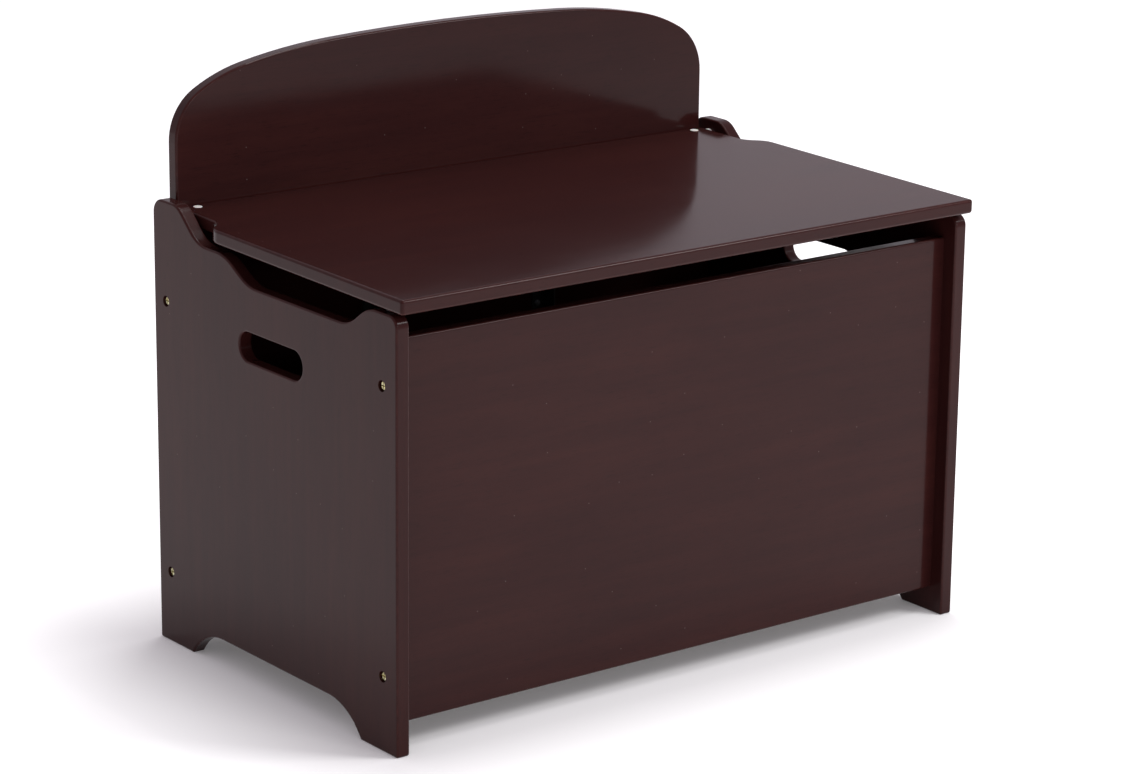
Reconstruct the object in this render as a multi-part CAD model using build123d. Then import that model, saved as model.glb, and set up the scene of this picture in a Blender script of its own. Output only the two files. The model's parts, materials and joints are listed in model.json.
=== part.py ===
from build123d import *
import math
import os

# Toy box with a bench lid.  Millimetres, +Z up, the front faces -Y, and the origin is the centre
# of the footprint on the floor.  "depth" is the distance back from the side panels' front edge.

# ---- overall ----
WIDTH = 726.0                # over the outer faces of the side panels
BOARD = 15.0                 # thickness of every main board
SIDE_DEPTH = 432.0
LID_OVERHANG = 9.0           # the lid stands forward of the side panels
TOP_HEIGHT = 619.0           # crown of the backrest
ARRIS = 2.2                  # rounded edges of the panels
CUT = 1.0                    # how far a cutting tool runs past a face
RUNNING_GAP = 0.05           # radial clearance of a pin that turns

X_OUT = WIDTH / 2
X_IN = X_OUT - BOARD
Y_FRONT = LID_OVERHANG - (SIDE_DEPTH + LID_OVERHANG) / 2

# ---- side panels ----
HUMP_Z = 439.5
SCALLOP_Z = 415.5
EAR_Z = 472.7
SIDE_TOP = [                 # depth, height and corner radius along the top edge
    (0.0, HUMP_Z, 12.0),
    (48.3, HUMP_Z, 45.0),
    (81.7, SCALLOP_Z, 45.0),
    (255.5, SCALLOP_Z, 57.0),
    (298.5, HUMP_Z, 57.0),
    (348.7, HUMP_Z, 44.0),
    (385.8, EAR_Z, 24.0),
    (SIDE_DEPTH, EAR_Z, 15.0),
]
ARCH_Z = 30.0
ARCH_START = 120.0           # depth where the arch becomes flat
ARCH_RADIUS = 70.0
HANDLE_LENGTH = 112.5
HANDLE_HEIGHT = 30.2
HANDLE_Z = 353.8
HANDLE_RIM = 2.0
FOOT_CORNER = 2.5

# ---- front, back and bottom ----
FRONT_RECESS = 17.0
FRONT_INSIDE = FRONT_RECESS + BOARD
REST_FRONT = SIDE_DEPTH - BOARD          # depth of the backrest's front face
BACK_FRONT = REST_FRONT - BOARD          # depth of the back panel's front face
PANEL_BOTTOM_Z = 28.0
FRONT_TOP_Z = 414.0
BOTTOM_BOARD = 6.0
BOTTOM_Z = 38.0
GROOVE_DEPTH = 5.0
GROOVE_PLAY = 0.15
TONGUE_PLAY = 0.5
GROOVE_Z = (BOTTOM_Z - GROOVE_PLAY, BOTTOM_Z + BOTTOM_BOARD + GROOVE_PLAY)

# ---- backrest ----
EAR_GAP = 4.5                            # from the lid and backrest to each side panel
NARROW_HALF = X_IN - EAR_GAP
REST_BOTTOM_Z = 330.0
CROWN_ARCS = [(2800.0, 3.07), (700.0, 8.93), (190.0, 18.0)]      # radius, turn in degrees
REST_SCREW_X = (-290.0, 0.0, 290.0)
REST_SCREW_Z = (352.0, 420.0)
REST_SCREW_RADIUS = 2.0
REST_SCREW_HEAD = 4.0
REST_SCREW_BITE = 11.0                   # how far the screws go into the back panel

# ---- lid and its pivot ----
LID_HALF = X_OUT
PIVOT_DEPTH = 405.0
PIVOT_Z = 455.2
LID_TILT = 0.69                          # degrees, front edge lower
LID_REACH = PIVOT_DEPTH + LID_OVERHANG
LID_TAIL = 10.0
STEP_FRONT = 83.3                        # corners of the shoulder, forward of the pivot
STEP_REAR = 65.8
STEP_RADIUS = 24.0
LID_CORNER = 3.5
LID_TOP_ARRIS = 3.0
LID_LOW_ARRIS = 3.4
PIN_RADIUS = 3.0
PIN_INNER_X = 313.0
PIN_OUTER_X = 357.0
BUSH_RADIUS = 4.6
BUSH_FLANGE_RADIUS = 6.8
BUSH_FLANGE = 3.9
PLUG_RADIUS = 4.75
PLUG_X = X_OUT - 37.0
PLUG_DEPTH = 12.5
PLUG_PROUD = 0.4
BUMPER_RADIUS = 3.5
BUMPER_HEIGHT = 3.4
BUMPER_DEPTH = 24.0
BUMPER_INSET = 10.0                      # bumper axis, inward of the side panel's outer face

# ---- panel bolts, barrel nuts and dowels ----
BOLT_Z = (77.0, 368.0)
BOLT_DEPTHS = (FRONT_RECESS + BOARD / 2, BACK_FRONT + BOARD / 2)
SINK_RADIUS = 5.7
SINK_DEPTH = 6.4
HEAD_RADIUS = 4.6
HEAD_HEIGHT = 4.4
HEAD_ROUND = 1.2
SHANK_RADIUS = 3.0
SHANK_HOLE = 3.25
BOLT_LENGTH = 52.0
NUT_RADIUS = 5.0
NUT_LENGTH = 13.0
NUT_INSET = 32.0                         # nut axis, inward of the side panel's inner face
DOWEL_RADIUS = 4.0
DOWEL_LENGTH = 30.0
DOWEL_SINK = 10.0                        # length of the dowel's hole in the side panel
DOWEL_Z = (150.0, 295.0)
PRESS_GAP = 0.05                         # kept between a plug or nut and its hole

# ---- lid stays ----
STAY_X = 111.0                           # inner face of the back bracket's ear
SHEET = 2.0
SHEET_GAP = 0.4
STAY_PIVOT = (388.0, 364.0)              # depth and height of the arm's fixed pivot
LINK_POINT = (-68.0, -19.0)              # lid end of the link, from the lid pivot
ARM_HALF_WIDTH = 7.0
LINK_HALF_WIDTH = 6.0
STAY_PIN = 2.5
ELBOW_PLAY = 0.5
RIVET_HEAD = 4.1
RIVET_HEAD_HEIGHT = 1.5
CORNER = 8.0                             # rounded corners of the sheet-steel brackets
BRACKET_Z = (290.0, 392.0)
BRACKET_WIDTH = 28.0
EAR_REACH = 9.0                          # bracket ear forward of the arm's pivot
BRACKET_SCREW_X = (-8.0, 8.0)            # from the ear
BRACKET_SCREW_INSET = 8.0
DAMPER_RADIUS = 11.0
DAMPER_LENGTH = 16.0
DAMPER_WALL = 4.0
LID_PLATE = (20.0, 56.0)                 # lid bracket's plate, across and along
LID_TAB = 24.0
LID_SCREW_STEP = 20.0
LID_SCREW_ACROSS = 12.4
WOOD_SCREW_HEAD = 3.6
WOOD_SCREW_HEAD_HEIGHT = 2.0
WOOD_SCREW_RADIUS = 1.8
WOOD_SCREW_LENGTH = 11.0

PARTS = {}


def keep(name, shapes):
    PARTS[name] = shapes


# ---- helpers ----
def at_depth(depth):
    return Y_FRONT + depth


def rod_x(radius, x_start, x_end, depth, z):
    """Cylinder along X between two x positions."""
    place = Pos((x_start + x_end) / 2, at_depth(depth), z)
    return place * Rot(0, 90, 0) * Cylinder(radius, abs(x_end - x_start))


def rod_y(radius, depth_start, depth_end, x, z):
    """Cylinder along Y between two depths."""
    place = Pos(x, at_depth((depth_start + depth_end) / 2), z)
    return place * Rot(90, 0, 0) * Cylinder(radius, abs(depth_end - depth_start))


def block(x_range, depth_range, z_range):
    ranges = (x_range, depth_range, z_range)
    x, depth, z = [sum(pair) / 2 for pair in ranges]
    return Pos(x, at_depth(depth), z) * Box(*[abs(high - low) for low, high in ranges])


def mirror_x(shape):
    return mirror(shape, about=Plane.YZ)


def on_side(shape, sign):
    """The shape as built on the right, or its mirror image for the left."""
    return shape if sign > 0 else mirror_x(shape)


def cross_recess(radius, depth):
    """Cross-shaped cutter going down from z = 0."""
    slot = Pos(0, 0, -depth / 2) * Box(radius * 1.5, radius * 0.26, depth)
    return slot + Rot(0, 0, 90) * slot


def end_faces(shape, axis):
    faces = shape.faces().sort_by(axis)
    return faces[0], faces[-1]


def round_rims(shape, axis, low_radius, high_radius):
    """Rounds the outlines of the lowest and highest faces along an axis."""
    shape = fillet(end_faces(shape, axis)[0].edges(), low_radius)
    return fillet(end_faces(shape, axis)[1].edges(), high_radius)


# ---- side panels ----
def side_outline():
    run = math.sqrt(ARCH_RADIUS**2 - (ARCH_RADIUS - ARCH_Z) ** 2)
    near, far = ARCH_START, SIDE_DEPTH - ARCH_START
    corners = [(0.0, 0.0, FOOT_CORNER), *SIDE_TOP, (SIDE_DEPTH, 0.0, FOOT_CORNER)]
    outside = FilletPolyline(
        (near - run, 0),
        *[(depth, z) for depth, z, _ in corners],
        (far + run, 0),
        radius=[radius for _, _, radius in corners],
    )
    arch = [
        RadiusArc((far + run, 0), (far, ARCH_Z), -ARCH_RADIUS),
        Line((far, ARCH_Z), (near, ARCH_Z)),
        RadiusArc((near, ARCH_Z), (near - run, 0), -ARCH_RADIUS),
    ]
    return make_face([outside, *arch])


def side_panel():
    """The right side panel; the left one is its mirror image."""
    plane = Plane.YZ.offset(X_IN) * Pos(Y_FRONT, 0)
    panel = round_rims(extrude(plane * side_outline(), BOARD), Axis.X, ARRIS, ARRIS)
    handle = Pos(SIDE_DEPTH / 2, HANDLE_Z) * SlotOverall(HANDLE_LENGTH, HANDLE_HEIGHT)
    panel -= extrude(plane * handle, BOARD)
    inner_wires = [wire for face in end_faces(panel, Axis.X) for wire in face.inner_wires()]
    panel = fillet([edge for wire in inner_wires for edge in wire.edges()], HANDLE_RIM)
    for depth in BOLT_DEPTHS:
        for z in BOLT_Z:
            panel -= rod_x(SINK_RADIUS, X_OUT - SINK_DEPTH, X_OUT + CUT, depth, z)
            panel -= rod_x(SHANK_HOLE, X_IN - CUT, X_OUT, depth, z)
        for z in DOWEL_Z:
            panel -= rod_x(DOWEL_RADIUS, X_IN - CUT, X_IN + DOWEL_SINK, depth, z)
    panel -= rod_x(BUSH_RADIUS, X_IN - CUT, PIN_OUTER_X + CUT, PIVOT_DEPTH, PIVOT_Z)
    return panel - block((X_IN - CUT, X_IN + GROOVE_DEPTH), (FRONT_INSIDE, BACK_FRONT), GROOVE_Z)


# ---- front, back and bottom panels ----
def cross_board(depth, top_z, inside):
    """Board between the sides.  inside is the depth of its face that looks into the box."""
    board = block((-X_IN, X_IN), (depth, depth + BOARD), (PANEL_BOTTOM_Z, top_z))
    board = fillet(board.edges().filter_by(Axis.X), ARRIS)
    centre = depth + BOARD / 2
    outward = math.copysign(1, centre - inside)
    groove = (inside - outward * CUT, inside + outward * GROOVE_DEPTH)
    board -= block((-X_IN, X_IN), sorted(groove), GROOVE_Z)
    for sign in (-1, 1):
        face_x = sign * (X_IN + CUT)
        for z in BOLT_Z:
            hole_end = sign * (X_OUT - SINK_DEPTH - BOLT_LENGTH - CUT)
            board -= rod_x(SHANK_HOLE, face_x, hole_end, centre, z)
            board -= rod_y(NUT_RADIUS, inside, inside + outward * NUT_LENGTH, sign * (X_IN - NUT_INSET), z)
        for z in DOWEL_Z:
            board -= rod_x(DOWEL_RADIUS, face_x, sign * (X_IN + DOWEL_SINK - DOWEL_LENGTH), centre, z)
    return board


def back_panel():
    board = cross_board(BACK_FRONT, HUMP_Z, BACK_FRONT)
    for x in REST_SCREW_X:
        for z in REST_SCREW_Z:
            board -= rod_y(REST_SCREW_RADIUS, REST_FRONT - REST_SCREW_BITE, REST_FRONT + CUT, x, z)
    return board


def bottom_panel():
    """Thin board with tongues into the grooves of all four panels, notched at the corners."""
    reach = GROOVE_DEPTH - TONGUE_PLAY
    heights = (BOTTOM_Z, BOTTOM_Z + BOTTOM_BOARD)
    long_way = block((-X_IN, X_IN), (FRONT_INSIDE - reach, BACK_FRONT + reach), heights)
    inner = (FRONT_INSIDE + TONGUE_PLAY, BACK_FRONT - TONGUE_PLAY)
    return long_way + block((-X_IN - reach, X_IN + reach), inner, heights)


# ---- backrest ----
def crown_curve():
    """Right half of the crowned top edge, from the centre down to the vertical side."""
    arcs = []
    start, heading, turned = Vector(0, TOP_HEIGHT), Vector(1, 0), 0.0
    for radius, turn in CROWN_ARCS:
        arc = JernArc(start, heading, radius, -turn)
        arcs.append(arc)
        start, heading, turned = arc @ 1, arc % 1, turned + turn
    corner_radius = (NARROW_HALF - start.X) / (1 - math.sin(math.radians(turned)))
    arcs.append(JernArc(start, heading, corner_radius, turned - 90))
    return arcs


def rest_screw_head(x, z, margin=0.0):
    """Countersunk head flush with the backrest's rear face."""
    height = REST_SCREW_HEAD - REST_SCREW_RADIUS
    cone = Cone(REST_SCREW_RADIUS + margin, REST_SCREW_HEAD + margin, height)
    return Pos(x, at_depth(SIDE_DEPTH) - height / 2, z) * Rot(-90, 0, 0) * cone


def backrest_panel():
    crown = crown_curve()
    rest_of_half = Polyline(
        crown[-1] @ 1, (NARROW_HALF, REST_BOTTOM_Z), (0, REST_BOTTOM_Z), (0, TOP_HEIGHT)
    )
    half = make_face([*crown, rest_of_half])
    plane = Plane(origin=(0, at_depth(SIDE_DEPTH), 0), x_dir=(1, 0, 0), z_dir=(0, -1, 0))
    board = extrude(plane * (half + mirror_x(half)), BOARD).clean()
    board = round_rims(board, Axis.Y, ARRIS, ARRIS)
    for x in REST_SCREW_X:
        for z in REST_SCREW_Z:
            board -= rod_y(REST_SCREW_RADIUS, REST_FRONT - CUT, SIDE_DEPTH + CUT, x, z)
            board -= rest_screw_head(x, z, PRESS_GAP)
    return board


def backrest_screw(x, z):
    shank = rod_y(REST_SCREW_RADIUS - PRESS_GAP, REST_FRONT + CUT - REST_SCREW_BITE, SIDE_DEPTH - CUT, x, z)
    recess = cross_recess(REST_SCREW_HEAD, REST_SCREW_HEAD / 2.5)
    recess = Pos(x, at_depth(SIDE_DEPTH), z) * Rot(-90, 0, 0) * recess
    return shank + rest_screw_head(x, z) - recess


# ---- panel bolts, barrel nuts and dowels ----
def panel_bolt(sign, depth, z):
    seat = X_OUT - SINK_DEPTH
    head = rod_x(HEAD_RADIUS, seat, seat + HEAD_HEIGHT, depth, z)
    head = fillet(head.edges().sort_by(Axis.X)[-1], HEAD_ROUND)
    recess = cross_recess(HEAD_RADIUS, HEAD_HEIGHT / 2)
    recess = Pos(seat + HEAD_HEIGHT, at_depth(depth), z) * Rot(0, 90, 0) * recess
    shank = rod_x(SHANK_RADIUS, seat - BOLT_LENGTH, seat, depth, z)
    return on_side(head + shank - recess, sign)


def barrel_nut(sign, inside, outward, z):
    """Nut pushed in from the face at depth inside, with a turning slot in its end."""
    x = sign * (X_IN - NUT_INSET)
    nut = rod_y(NUT_RADIUS - PRESS_GAP, inside, inside + outward * (NUT_LENGTH - PRESS_GAP), x, z)
    slot = Pos(x, at_depth(inside), z) * Box(NUT_RADIUS * 1.3, NUT_RADIUS / 2, NUT_RADIUS / 4)
    thread = rod_x(SHANK_RADIUS, x - 2 * NUT_RADIUS, x + 2 * NUT_RADIUS, inside + outward * BOARD / 2, z)
    return nut - thread - slot


def wood_dowel(sign, depth, z):
    outer = X_IN + DOWEL_SINK - TONGUE_PLAY
    inner = X_IN + DOWEL_SINK - DOWEL_LENGTH + TONGUE_PLAY
    return rod_x(DOWEL_RADIUS - PRESS_GAP, sign * outer, sign * inner, depth, z)


# ---- lid ----
def on_lid(shape):
    """Carries a shape from the flat lid's frame, with the pivot at its origin, to its tilted place."""
    return Pos(0, at_depth(PIVOT_DEPTH), PIVOT_Z) * Rot(LID_TILT, 0, 0) * shape


def lid_outline():
    corners = [
        (0, -LID_REACH, 0),
        (LID_HALF, -LID_REACH, LID_CORNER),
        (LID_HALF, -STEP_FRONT, STEP_RADIUS),
        (NARROW_HALF, -STEP_REAR, STEP_RADIUS),
        (NARROW_HALF, LID_TAIL, LID_CORNER),
        (0, LID_TAIL, 0),
    ]
    points = [(x, y) for x, y, _ in corners]
    half = make_face(FilletPolyline(*points, radius=[radius for _, _, radius in corners], close=True))
    return half + mirror_x(half)


def lid_panel():
    board = extrude(Plane.XY.offset(-BOARD / 2) * lid_outline(), BOARD).clean()
    board = round_rims(board, Axis.Z, LID_LOW_ARRIS, LID_TOP_ARRIS)
    pin_length = NARROW_HALF - PIN_INNER_X + 2 * CUT
    for sign in (-1, 1):
        middle = sign * (PIN_INNER_X + NARROW_HALF) / 2
        board -= Pos(middle, 0, 0) * Rot(0, 90, 0) * Cylinder(PIN_RADIUS, pin_length)
        plug_middle = (BOARD + CUT - PLUG_DEPTH) / 2
        board -= Pos(sign * PLUG_X, 0, plug_middle) * Cylinder(PLUG_RADIUS, PLUG_DEPTH + CUT)
    return on_lid(board)


def pin_plug(sign):
    """Round plug in the lid's top, cross-bored for the pivot pin that it holds."""
    bottom, top = BOARD / 2 - PLUG_DEPTH, BOARD / 2 + PLUG_PROUD
    plug = Cylinder(PLUG_RADIUS - PRESS_GAP, top - bottom)
    plug = Pos(0, 0, (top + bottom) / 2) * fillet(plug.edges().sort_by(Axis.Z)[-1], PLUG_PROUD)
    plug -= Rot(0, 90, 0) * Cylinder(PIN_RADIUS, 4 * PLUG_RADIUS)
    return on_lid(Pos(sign * PLUG_X, 0, 0) * plug)


def pivot_pin(sign):
    pin = rod_x(PIN_RADIUS, PIN_INNER_X, PIN_OUTER_X, PIVOT_DEPTH, PIVOT_Z)
    return on_side(chamfer(pin.edges().filter_by(GeomType.CIRCLE), 0.5), sign)


def pivot_bush(sign):
    body = rod_x(BUSH_RADIUS - PRESS_GAP, X_IN - BUSH_FLANGE, PIN_OUTER_X + CUT, PIVOT_DEPTH, PIVOT_Z)
    flange = rod_x(BUSH_FLANGE_RADIUS, X_IN - BUSH_FLANGE, X_IN, PIVOT_DEPTH, PIVOT_Z)
    flange = fillet(flange.edges().sort_by(Axis.X)[0], 0.6)
    bore = rod_x(PIN_RADIUS + RUNNING_GAP, NARROW_HALF, PIN_OUTER_X + 2 * CUT, PIVOT_DEPTH, PIVOT_Z)
    return on_side(body + flange - bore, sign)


def lid_bumper(sign):
    bumper = Cylinder(BUMPER_RADIUS, BUMPER_HEIGHT)
    bumper = fillet(bumper.edges().sort_by(Axis.Z)[0], 0.8)
    z = -(BOARD + BUMPER_HEIGHT) / 2
    return on_lid(Pos(sign * (X_OUT - BUMPER_INSET), BUMPER_DEPTH - PIVOT_DEPTH, z) * bumper)


# ---- lid stays, built on the right and mirrored ----
def strap(half_width, x_start, start, end, holes):
    """Flat bar with round ends between two points given as depth and height."""
    run = Vector(*end) - Vector(*start)
    middle = Vector(*start) + run / 2
    slot = SlotOverall(run.length + 2 * half_width, 2 * half_width)
    outline = Pos(middle.X, middle.Y) * Rot(0, 0, math.degrees(math.atan2(run.Y, run.X))) * slot
    bar = extrude(Plane.YZ.offset(x_start) * Pos(Y_FRONT, 0) * outline, SHEET)
    for point, radius in zip((start, end), holes):
        bar -= rod_x(radius, x_start - CUT, x_start + SHEET + CUT, *point)
    return bar


def rivet(point, link_x, arm_x):
    """Shank through link and arm, with a domed head on the link side."""
    shank = rod_x(STAY_PIN, link_x - CUT, arm_x + SHEET, *point)
    head_end = link_x - PRESS_GAP
    head = rod_x(RIVET_HEAD, head_end - RIVET_HEAD_HEIGHT, head_end, *point)
    return shank + fillet(head.edges().sort_by(Axis.X)[0], 0.9)


def wood_screw():
    """Pan-head screw through sheet steel: the wood begins at z = 0, and the point is up."""
    head_z = -SHEET - WOOD_SCREW_HEAD_HEIGHT / 2
    head = Cylinder(WOOD_SCREW_HEAD, WOOD_SCREW_HEAD_HEIGHT)
    head = Pos(0, 0, head_z) * fillet(head.edges().sort_by(Axis.Z)[0], WOOD_SCREW_HEAD_HEIGHT / 2)
    shank = Pos(0, 0, WOOD_SCREW_LENGTH / 2 - SHEET) * Cylinder(WOOD_SCREW_RADIUS, WOOD_SCREW_LENGTH)
    recess = cross_recess(WOOD_SCREW_HEAD, 0.6 * WOOD_SCREW_HEAD_HEIGHT)
    return head + shank - Pos(0, 0, -SHEET - WOOD_SCREW_HEAD_HEIGHT) * Rot(180, 0, 0) * recess


def back_bracket(snug):
    """T-shaped bracket: a plate on the back panel and an ear for the arm's pivot."""
    ear_middle = STAY_X + SHEET / 2
    across = (ear_middle - BRACKET_WIDTH / 2, ear_middle + BRACKET_WIDTH / 2)
    plate = block(across, (BACK_FRONT - SHEET, BACK_FRONT), BRACKET_Z)
    ear = block((STAY_X, STAY_X + SHEET), (STAY_PIVOT[0] - EAR_REACH, BACK_FRONT - SHEET), BRACKET_Z)
    bracket = plate + fillet(ear.edges().filter_by(Axis.X).sort_by(Axis.Y)[:2], CORNER)
    bracket -= rod_x(snug, STAY_X - CUT, STAY_X + SHEET + CUT, *STAY_PIVOT)
    screws = []
    for x in BRACKET_SCREW_X:
        for z in (BRACKET_Z[0] + BRACKET_SCREW_INSET, BRACKET_Z[1] - BRACKET_SCREW_INSET):
            place = Pos(ear_middle + x, at_depth(BACK_FRONT), z) * Rot(-90, 0, 0)
            screws.append(place * wood_screw())
            bracket -= screws[-1]
    return bracket, screws


def lid_bracket(arm_x, tip):
    """Angle bracket under the lid: a plate on the wood and a tab for the link's pivot."""
    under = -BOARD / 2
    across, along = LID_PLATE
    plate = Pos(arm_x + across / 2, LINK_POINT[0], under - SHEET / 2) * Box(across, along, SHEET)
    drop = under - LINK_POINT[1] + CORNER
    tab = Pos(arm_x + SHEET / 2, LINK_POINT[0], under - drop / 2) * Box(SHEET, LID_TAB, drop)
    bracket = on_lid(plate + fillet(tab.edges().filter_by(Axis.X).sort_by(Axis.Z)[:2], CORNER))
    bracket -= rod_x(STAY_PIN, arm_x - CUT, arm_x + SHEET + CUT, *tip)
    screws = []
    for step in (-LID_SCREW_STEP, 0, LID_SCREW_STEP):
        place = Pos(arm_x + LID_SCREW_ACROSS, LINK_POINT[0] + step, under)
        screws.append(on_lid(place * wood_screw()))
        bracket -= screws[-1]
    return bracket, screws


def damper(snug, arm_x):
    """Damper housing with a blind socket, and the shaft that carries the arm."""
    near = STAY_X + SHEET
    socket_end = near + DAMPER_LENGTH - DAMPER_WALL
    housing = rod_x(DAMPER_RADIUS, near, near + DAMPER_LENGTH, *STAY_PIVOT)
    housing = fillet(housing.edges().filter_by(GeomType.CIRCLE).sort_by(Axis.X)[-1], 1.5)
    housing -= rod_x(snug, near - CUT, socket_end, *STAY_PIVOT)
    shaft = rod_x(STAY_PIN, arm_x, socket_end - TONGUE_PLAY, *STAY_PIVOT)
    return housing, shaft + rod_x(RIVET_HEAD, arm_x - SHEET_GAP + PRESS_GAP, arm_x, *STAY_PIVOT)


def lid_stay():
    """All pieces of the right-hand stay.  Arm and link make a parallelogram with the lid pivot."""
    arm_x = STAY_X - SHEET_GAP - SHEET
    link_x = arm_x - SHEET_GAP - SHEET
    tilt = math.radians(LID_TILT)
    tip = (
        PIVOT_DEPTH + LINK_POINT[0] * math.cos(tilt) - LINK_POINT[1] * math.sin(tilt),
        PIVOT_Z + LINK_POINT[0] * math.sin(tilt) + LINK_POINT[1] * math.cos(tilt),
    )
    elbow = (tip[0] + STAY_PIVOT[0] - PIVOT_DEPTH, tip[1] + STAY_PIVOT[1] - PIVOT_Z)
    snug = STAY_PIN + RUNNING_GAP
    housing, shaft = damper(snug, arm_x)
    bracket, bracket_screws = back_bracket(snug)
    plate, lid_screws = lid_bracket(arm_x, tip)
    return {
        "back_bracket": [bracket],
        "back_bracket_screws": bracket_screws,
        "damper": [housing],
        "damper_shaft": [shaft],
        "stay_arm": [strap(ARM_HALF_WIDTH, arm_x, STAY_PIVOT, elbow, (STAY_PIN, STAY_PIN))],
        "stay_link": [strap(LINK_HALF_WIDTH, link_x, elbow, tip, (STAY_PIN + ELBOW_PLAY, snug))],
        "elbow_rivet": [rivet(elbow, link_x, arm_x)],
        "lid_rivet": [rivet(tip, link_x, arm_x)],
        "lid_bracket": [plate],
        "lid_bracket_screws": lid_screws,
    }


def bored_for(board, screws):
    for screw in screws:
        board -= screw
    return board


# ---- all the pieces ----
def build():
    side = side_panel()
    back, lid = back_panel(), lid_panel()
    stay = lid_stay()
    for sign, word in ((-1, "left"), (1, "right")):
        keep(word + "_side_panel", [on_side(side, sign)])
        keep(word + "_side_bolts", [panel_bolt(sign, depth, z) for depth in BOLT_DEPTHS for z in BOLT_Z])
        keep(word + "_pivot_pin", [pivot_pin(sign)])
        keep(word + "_pivot_bush", [pivot_bush(sign)])
        keep(word + "_pin_plug", [pin_plug(sign)])
        for name, solids in stay.items():
            keep(word + "_" + name, [on_side(solid, sign) for solid in solids])
        back = bored_for(back, PARTS[word + "_back_bracket_screws"])
        lid = bored_for(lid, PARTS[word + "_lid_bracket_screws"])
    for word, inside, outward in (("front", FRONT_INSIDE, -1), ("back", BACK_FRONT, 1)):
        nuts = [barrel_nut(sign, inside, outward, z) for sign in (-1, 1) for z in BOLT_Z]
        keep(word + "_barrel_nuts", nuts)
    keep("front_panel", [cross_board(FRONT_RECESS, FRONT_TOP_Z, FRONT_INSIDE)])
    keep("back_panel", [back])
    keep("bottom_panel", [bottom_panel()])
    keep("backrest_panel", [backrest_panel()])
    keep("backrest_screws", [backrest_screw(x, z) for x in REST_SCREW_X for z in REST_SCREW_Z])
    keep("wood_dowels", [wood_dowel(s, d, z) for s in (-1, 1) for d in BOLT_DEPTHS for z in DOWEL_Z])
    keep("lid", [lid])
    keep("lid_bumpers", [lid_bumper(sign) for sign in (-1, 1)])


build()
os.makedirs("parts", exist_ok=True)
for name, shapes in PARTS.items():
    solids = [solid for shape in shapes for solid in shape.solids()]
    export_step(solids[0] if len(solids) == 1 else Compound(children=solids), "parts/" + name + ".step")
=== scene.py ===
import json
import math

import bpy
from mathutils import Matrix, Vector

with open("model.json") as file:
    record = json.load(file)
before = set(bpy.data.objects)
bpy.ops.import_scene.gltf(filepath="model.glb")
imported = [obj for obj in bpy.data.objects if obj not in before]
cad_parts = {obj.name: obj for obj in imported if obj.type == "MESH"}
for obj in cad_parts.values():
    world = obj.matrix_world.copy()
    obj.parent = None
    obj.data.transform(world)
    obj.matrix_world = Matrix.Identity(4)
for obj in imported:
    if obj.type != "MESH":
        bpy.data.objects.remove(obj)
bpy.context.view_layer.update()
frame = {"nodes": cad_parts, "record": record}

# ---- camera and studio, in metres and degrees ----
CAMERA_PLACE = (-2.3039, -2.9909, 1.3449)
CAMERA_AZIMUTH = 37.553
CAMERA_ELEVATION = 15.988
CAMERA_ROLL = 0.616
CAMERA_LENS = 120.5                # mm
CAMERA_SENSOR = 36.0               # mm
CAMERA_REACH = 100.0
FLOOR_SIZE = 40.0
FLOOR_WHITE = 0.9
FLOOR_ROUGHNESS = 0.9
FOOTPRINT_HALF = (0.363, 0.2205, 1.0)    # the last number only leaves height out
FLOOR_GLOW_PAINTED_SHADOW_TO_OPEN = (0.09, 0.50)          # glow at the footprint's edge, low there as a painted contact shadow, and beyond the painted shadow's reach
# Distance from the footprint over which the floor's glow rises and the painted contact shadow
# fades out.
FLOOR_PAINTED_SHADOW_REACH = 0.16
WORLD_WHITE = (1.03, 0.95, 1.03)
WORLD_STRENGTH = 0.55
LIGHTS = (                         # name, place, target, size, watts
    ("overhead", (0.6, 0.0, 2.6), (0.0, 0.0, 0.4), (2.4, 0.5), 27),
    ("key", (1.7, -1.9, 2.2), (0.0, 0.0, 0.3), (1.0, 1.0), 42),
    ("front fill", (0.6, -3.8, 1.3), (0.0, 0.0, 0.3), (1.2, 0.8), 22),
)

# ---- board directions ----
X_AXIS, Y_AXIS, Z_AXIS = 0, 1, 2
BOARDS = {                   # node: grain axis, thickness axis
    "left_side_panel": (Z_AXIS, X_AXIS),
    "right_side_panel": (Z_AXIS, X_AXIS),
    "front_panel": (X_AXIS, Y_AXIS),
    "back_panel": (X_AXIS, Y_AXIS),
    "backrest_panel": (X_AXIS, Y_AXIS),
    "lid": (X_AXIS, Z_AXIS),
}

# ---- lacquered wood ----
STAIN_DARK = (0.0195, 0.0046, 0.0046)
STAIN_MIDDLE = (0.0250, 0.0060, 0.0056)
STAIN_RED = (0.0320, 0.0080, 0.0068)
STAIN_FIBRE = (0.0330, 0.0090, 0.0078)
STAIN_PORE = (0.0100, 0.0032, 0.0032)
STAIN_WORN = (0.0480, 0.0120, 0.0100)
NIB_COLOUR = (0.16, 0.12, 0.11)
NIB_SPACING = 0.045
NIB_RADIUS = 0.0007
NIB_SHARE = 0.35
NIB_STRENGTH = 0.6
LACQUER_IOR = 1.205
LACQUER_ROUGHNESS = (0.09, 0.15)
LACQUER_WAVES = 0.00002            # metres, as are the other depths of relief
NIB_HEIGHT = 0.0001
WOOD_IOR = 1.25
WOOD_SPECULAR = 0.05
WOOD_ROUGHNESS = (0.44, 0.56)
FIBRE_DEPTH = 0.00004
PORE_DEPTH = 0.00004

# ---- hardware ----
YELLOW_ZINC = ((0.40, 0.34, 0.14), (0.60, 0.54, 0.28), (0.74, 0.74, 0.56))
BRIGHT_ZINC = ((0.36, 0.38, 0.42), (0.52, 0.53, 0.56), (0.68, 0.68, 0.68))
BLACK_PLASTIC = ((0.014, 0.014, 0.015), (0.024, 0.024, 0.025))
DARK_RUBBER = ((0.03, 0.03, 0.03), (0.05, 0.05, 0.05))
WHITE_NYLON = ((0.70, 0.70, 0.66), (0.80, 0.80, 0.77))


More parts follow.
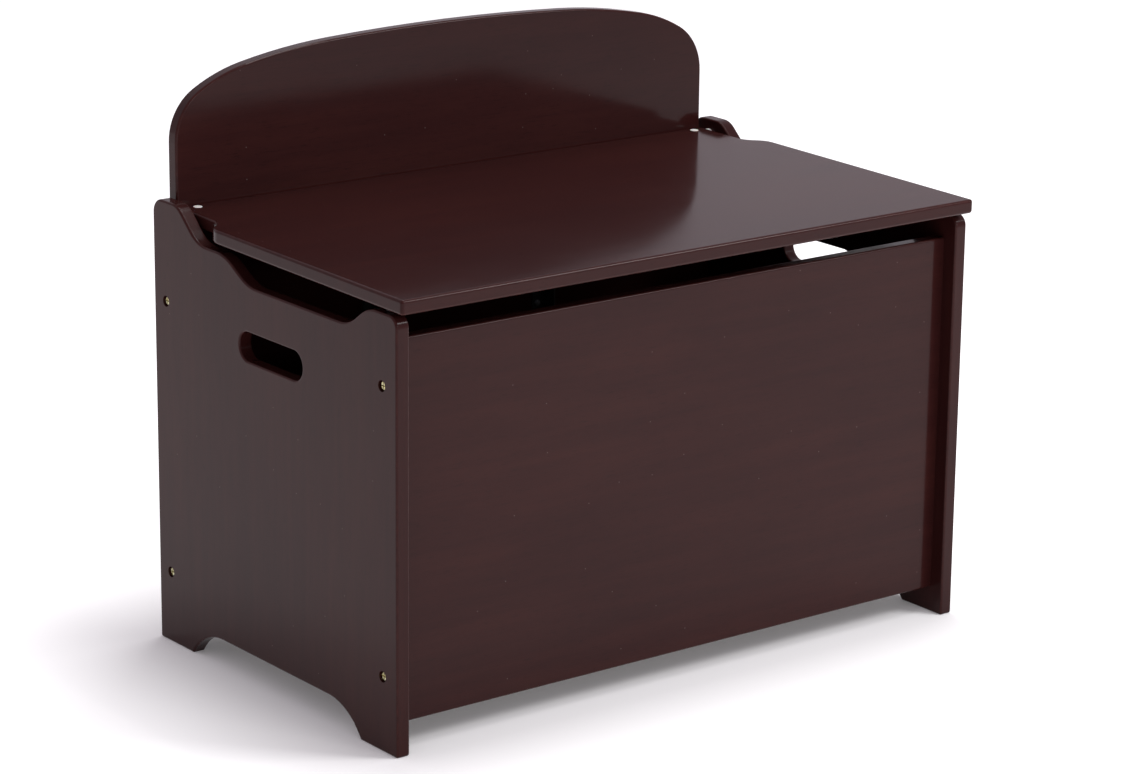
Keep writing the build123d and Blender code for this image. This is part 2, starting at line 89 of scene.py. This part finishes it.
# ---- shader helpers ----
class Graph:
    """A material's node tree with short calls for the nodes used here."""

    MIX_COLOUR_INPUTS = (0, 6, 7)    # factor, first and second colour; the Mix node repeats names
    MIX_COLOUR_OUTPUT = 2

    def __init__(self, name):
        self.material = bpy.data.materials.new(name)
        self.material.use_nodes = True
        self.tree = self.material.node_tree
        self.shader = self.tree.nodes["Principled BSDF"]

    def node(self, kind, inputs=None, **settings):
        made = self.tree.nodes.new("ShaderNode" + kind)
        for key, value in settings.items():
            setattr(made, key, value)
        for key, value in (inputs or {}).items():
            self.feed(made.inputs[key], value)
        return made

    def feed(self, socket, value):
        if isinstance(value, bpy.types.NodeSocket):
            self.tree.links.new(value, socket)
        else:
            socket.default_value = value

    def set(self, **inputs):
        for key, value in inputs.items():
            self.feed(self.shader.inputs[key.replace("_", " ")], value)

    def coords(self, scale, offset=(0.0, 0.0, 0.0)):
        place = self.node("TexCoord").outputs["Object"]
        mapped = self.node("Mapping", {"Vector": place, "Scale": scale, "Location": offset})
        return mapped.outputs["Vector"]

    def noise(self, vector, detail=4.0, roughness=0.55, distortion=0.0):
        made = self.node("TexNoise", {"Vector": vector, "Scale": 1.0, "Detail": detail,
                                      "Roughness": roughness, "Distortion": distortion})
        return made.outputs["Fac"]

    def ramp(self, value, *stops):
        """stops are (position, colour) pairs."""
        made = self.node("ValToRGB", {"Fac": value})
        elements = made.color_ramp.elements
        while len(elements) < len(stops):
            elements.new(0.5)
        for element, (position, colour) in zip(elements, stops):
            element.position = position
            element.color = (*colour, 1)
        return made.outputs["Color"]

    def remap(self, value, low, high, to_low=0.0, to_high=1.0):
        made = self.node("MapRange", {"Value": value, "From Min": low, "From Max": high,
                                      "To Min": to_low, "To Max": to_high})
        return made.outputs["Result"]

    def math(self, operation, *values):
        made = self.node("Math", operation=operation)
        for socket, value in zip(made.inputs, values):
            self.feed(socket, value)
        return made.outputs["Value"]

    def vector(self, operation, first, second=(0.0, 0.0, 0.0)):
        made = self.node("VectorMath", {0: first, 1: second}, operation=operation)
        return made.outputs["Vector"]

    def mix(self, factor, first, second):
        made = self.node("Mix", data_type="RGBA")
        for place, value in zip(self.MIX_COLOUR_INPUTS, (factor, first, second)):
            self.feed(made.inputs[place], (*value, 1) if isinstance(value, tuple) else value)
        return made.outputs[self.MIX_COLOUR_OUTPUT]

    def specks(self, flat_axis, spacing, radius, share):
        """Sparse round dots on the faces across flat_axis; share is how many cells get one."""
        place = self.node("SeparateXYZ", {"Vector": self.node("TexCoord").outputs["Object"]})
        pair = [place.outputs[axis] for axis in range(3) if axis != flat_axis]
        plane = self.node("CombineXYZ", {"X": pair[0], "Y": pair[1]}).outputs["Vector"]
        cells = self.node("TexVoronoi", {"Vector": plane, "Scale": 1 / spacing},
                          voronoi_dimensions="2D")
        draw = self.node("SeparateColor", {"Color": cells.outputs["Color"]}).outputs["Red"]
        chosen = self.math("LESS_THAN", draw, share)
        edge = radius / spacing
        return self.math("MULTIPLY", chosen, self.remap(cells.outputs["Distance"], edge, edge / 2))

    def bump(self, height, distance, strength=1.0, under=None):
        inputs = {"Height": height, "Distance": distance, "Strength": strength}
        if under is not None:
            inputs["Normal"] = under
        return self.node("Bump", inputs).outputs["Normal"]


def along(axis, on_axis, off_axis):
    scale = [off_axis] * 3
    scale[axis] = on_axis
    return tuple(scale)


# ---- materials ----
def stained_board(name, grain, thickness, seed):
    """Dark red stained wood under a glossy lacquer, with its grain along one axis."""
    g = Graph(name)
    shift = (seed * 1.7, seed * 2.3, seed * 0.9)
    patches = g.noise(g.coords(along(grain, 2.2, 5.0), shift), detail=4.0, roughness=0.6)
    streaks = g.noise(g.coords(along(grain, 4.0, 60.0), shift), detail=6.0, roughness=0.62,
                      distortion=0.35)
    fibres = g.noise(g.coords(along(grain, 26.0, 620.0), shift), detail=4.0, roughness=0.6)
    pores = g.noise(g.coords(along(grain, 60.0, 900.0), shift), detail=2.0)

    tone = g.math("ADD", g.math("MULTIPLY", streaks, 0.45), g.math("MULTIPLY", patches, 0.55))
    colour = g.ramp(tone, (0.34, STAIN_DARK), (0.50, STAIN_MIDDLE), (0.66, STAIN_RED))
    colour = g.mix(g.remap(fibres, 0.35, 0.7, 0.0, 0.25), colour, STAIN_FIBRE)
    pore_mask = g.remap(pores, 0.60, 0.70)
    colour = g.mix(g.math("MULTIPLY", pore_mask, 0.45), colour, STAIN_PORE)

    # The stain is rubbed a little thinner on the rounded edges.
    normal = g.node("TexCoord").outputs["Normal"]
    across = g.node("SeparateXYZ", {"Vector": normal}).outputs[thickness]
    square = g.math("POWER", g.math("ABSOLUTE", across), 2.0)
    arris = g.math("MULTIPLY", g.math("MULTIPLY", square, g.math("SUBTRACT", 1.0, square)), 4.0)
    scuffs = g.noise(g.coords((140.0, 140.0, 140.0), shift), detail=5.0, roughness=0.7)
    worn = g.math("MULTIPLY", arris, g.remap(scuffs, 0.42, 0.68, 0.1, 0.8))
    colour = g.mix(worn, colour, STAIN_WORN)

    # A few nibs of dust stand in the lacquer.
    broad = g.math("GREATER_THAN", square, 0.9)
    specks = g.math("MULTIPLY", broad, g.specks(thickness, NIB_SPACING, NIB_RADIUS, NIB_SHARE))
    colour = g.mix(g.math("MULTIPLY", specks, NIB_STRENGTH), colour, NIB_COLOUR)

    haze = g.noise(g.coords((7.0, 7.0, 7.0), shift), detail=5.0, roughness=0.6)
    orange_peel = g.noise(g.coords((210.0, 210.0, 210.0), shift), detail=2.0)
    coat = g.bump(orange_peel, LACQUER_WAVES, 0.5)
    coat = g.bump(specks, NIB_HEIGHT, 0.5, coat)
    wood = g.bump(fibres, FIBRE_DEPTH, 0.6, coat)
    g.set(Base_Color=colour, IOR=WOOD_IOR, Specular_IOR_Level=WOOD_SPECULAR,
          Roughness=g.remap(fibres, 0.3, 0.7, *WOOD_ROUGHNESS),
          Coat_Weight=1.0, Coat_IOR=LACQUER_IOR,
          Coat_Roughness=g.remap(haze, 0.3, 0.7, *LACQUER_ROUGHNESS), Coat_Normal=coat,
          Normal=g.bump(g.math("SUBTRACT", 1.0, pore_mask), PORE_DEPTH, 0.5, wood))
    return g.material


def bottom_board():
    """Thin stained board, matt and slightly mottled."""
    g = Graph("thin stained board")
    mottle = g.noise(g.coords((40.0, 60.0, 60.0)), detail=6.0, roughness=0.7)
    fibres = g.noise(g.coords((30.0, 400.0, 400.0)), detail=3.0)
    colour = g.ramp(mottle, (0.35, (0.030, 0.013, 0.010)), (0.65, (0.055, 0.026, 0.020)))
    g.set(Base_Color=g.mix(g.remap(fibres, 0.4, 0.7, 0.0, 0.4), colour, (0.075, 0.038, 0.028)),
          Roughness=0.62, Normal=g.bump(fibres, 0.00005, 0.4))
    return g.material


def plain_wood():
    g = Graph("plain beech")
    fibres = g.noise(g.coords((40.0, 700.0, 700.0)), detail=5.0, roughness=0.65)
    flecks = g.noise(g.coords((160.0, 900.0, 900.0), (3.0, 1.0, 2.0)), detail=2.0)
    colour = g.ramp(fibres, (0.3, (0.42, 0.26, 0.14)), (0.7, (0.66, 0.47, 0.29)))
    g.set(Base_Color=g.mix(g.remap(flecks, 0.58, 0.68, 0.0, 0.7), colour, (0.27, 0.14, 0.07)),
          Roughness=0.6, Normal=g.bump(fibres, 0.00006, 0.5))
    return g.material


def plated(name, dark, middle, light, roughness):
    """Zinc plate over steel: cloudy colour, fine drawing lines and a soft shine."""
    g = Graph(name)
    clouds = g.noise(g.coords((350.0, 350.0, 350.0)), detail=4.0, roughness=0.6, distortion=0.5)
    lines = g.noise(g.coords((300.0, 4000.0, 4000.0)), detail=3.0)
    colour = g.ramp(clouds, (0.34, dark), (0.5, middle), (0.66, light))
    rough = g.remap(lines, 0.3, 0.7, roughness - 0.06, roughness + 0.1)
    g.set(Base_Color=colour, Metallic=1.0, Roughness=rough, Normal=g.bump(lines, 0.00001, 0.4))
    return g.material


def powder_coat():
    g = Graph("black powder coat")
    peel = g.noise(g.coords((900.0, 900.0, 900.0)), detail=2.0)
    dust = g.noise(g.coords((60.0, 60.0, 60.0)), detail=5.0, roughness=0.7)
    g.set(Base_Color=g.ramp(dust, (0.35, (0.012, 0.012, 0.013)), (0.7, (0.022, 0.022, 0.023))),
          Roughness=g.remap(dust, 0.3, 0.7, 0.36, 0.5), Normal=g.bump(peel, 0.00006, 0.6))
    return g.material


def moulded(name, dark, light, roughness, grain_scale, grain_depth):
    """Moulded plastic or rubber with a fine surface texture; returns the graph."""
    g = Graph(name)
    texture = g.noise(g.coords((grain_scale,) * 3), detail=3.0, roughness=0.6)
    shade = g.noise(g.coords((90.0, 90.0, 90.0)), detail=4.0)
    g.set(Base_Color=g.ramp(shade, (0.3, dark), (0.7, light)),
          Roughness=g.remap(texture, 0.3, 0.7, roughness - 0.08, roughness + 0.08),
          Normal=g.bump(texture, grain_depth, 0.5))
    return g


def nylon():
    g = moulded("white nylon", *WHITE_NYLON, 0.42, 500.0, 0.00002)
    g.set(Subsurface_Weight=0.2, Subsurface_Scale=0.002)
    return g.material


def dress():
    """Gives every CAD node its material."""
    by_slot = {
        "bottom_board": bottom_board(),
        "plain_wood": plain_wood(),
        "yellow_zinc": plated("yellow zinc", *YELLOW_ZINC, 0.26),
        "zinc_steel": plated("bright zinc", *BRIGHT_ZINC, 0.3),
        "black_steel": powder_coat(),
        "black_plastic": moulded("black plastic", *BLACK_PLASTIC, 0.5, 1400.0, 0.00004).material,
        "white_nylon": nylon(),
        "dark_rubber": moulded("dark rubber", *DARK_RUBBER, 0.75, 700.0, 0.00005).material,
    }
    for seed, (node, (grain, thickness)) in enumerate(BOARDS.items(), start=1):
        paint(node, stained_board("stained " + node.replace("_", " "), grain, thickness, seed))
    for entry in frame["record"]["subparts"]:
        if entry["node"] not in BOARDS:
            paint(entry["node"], by_slot[entry["material_slot"]])


def paint(node, material):
    for slot in frame["nodes"][node].material_slots:
        slot.material = material


# ---- studio ----
def add_floor():
    """A pale floor, for the stage only, whose glow is lowered close around the footprint as a
    painted contact shadow.
    """
    half = FLOOR_SIZE / 2
    mesh = bpy.data.meshes.new("floor")
    corners = [(-half, -half, 0), (half, -half, 0), (half, half, 0), (-half, half, 0)]
    mesh.from_pydata(corners, [], [(0, 1, 2, 3)])
    floor = bpy.data.objects.new("floor", mesh)
    bpy.context.collection.objects.link(floor)
    g = Graph("white floor with painted shadow")
    place = g.node("TexCoord").outputs["Object"]
    beyond = g.vector("SUBTRACT", g.vector("ABSOLUTE", place), FOOTPRINT_HALF)
    length = g.node("VectorMath", {0: g.vector("MAXIMUM", beyond)}, operation="LENGTH")
    # Less glow near the footprint paints the contact shadow; farther out the floor glows evenly.
    glow_with_painted_shadow = g.remap(length.outputs["Value"], 0.0, FLOOR_PAINTED_SHADOW_REACH, *FLOOR_GLOW_PAINTED_SHADOW_TO_OPEN)
    g.set(Base_Color=(FLOOR_WHITE, FLOOR_WHITE, FLOOR_WHITE, 1), Roughness=FLOOR_ROUGHNESS,
          Emission_Color=(1, 1, 1, 1), Emission_Strength=glow_with_painted_shadow)
    mesh.materials.append(g.material)


def add_area_light(name, place, target, size, watts):
    data = bpy.data.lights.new(name, "AREA")
    data.shape = "RECTANGLE"
    data.size, data.size_y = size
    data.energy = watts
    light = bpy.data.objects.new(name, data)
    light.location = place
    light.rotation_euler = (Vector(target) - Vector(place)).to_track_quat("-Z", "Y").to_euler()
    bpy.context.collection.objects.link(light)


def add_world():
    world = bpy.data.worlds.new("studio")
    world.use_nodes = True
    background = world.node_tree.nodes["Background"]
    background.inputs["Color"].default_value = (*WORLD_WHITE, 1)
    background.inputs["Strength"].default_value = WORLD_STRENGTH
    bpy.context.scene.world = world


def add_camera():
    data = bpy.data.cameras.new("camera")
    data.lens = CAMERA_LENS
    data.sensor_width = CAMERA_SENSOR
    data.clip_end = CAMERA_REACH
    camera = bpy.data.objects.new("camera", data)
    turn = Matrix.Rotation(math.radians(-CAMERA_AZIMUTH), 4, "Z")
    tilt = Matrix.Rotation(math.radians(90 - CAMERA_ELEVATION), 4, "X")
    roll = Matrix.Rotation(math.radians(CAMERA_ROLL), 4, "Z")
    camera.matrix_world = Matrix.Translation(CAMERA_PLACE) @ turn @ tilt @ roll
    bpy.context.collection.objects.link(camera)
    bpy.context.scene.camera = camera


dress()
add_floor()
add_world()
for light in LIGHTS:
    add_area_light(*light)
add_camera()
bpy.context.scene.view_settings.view_transform = "Standard"
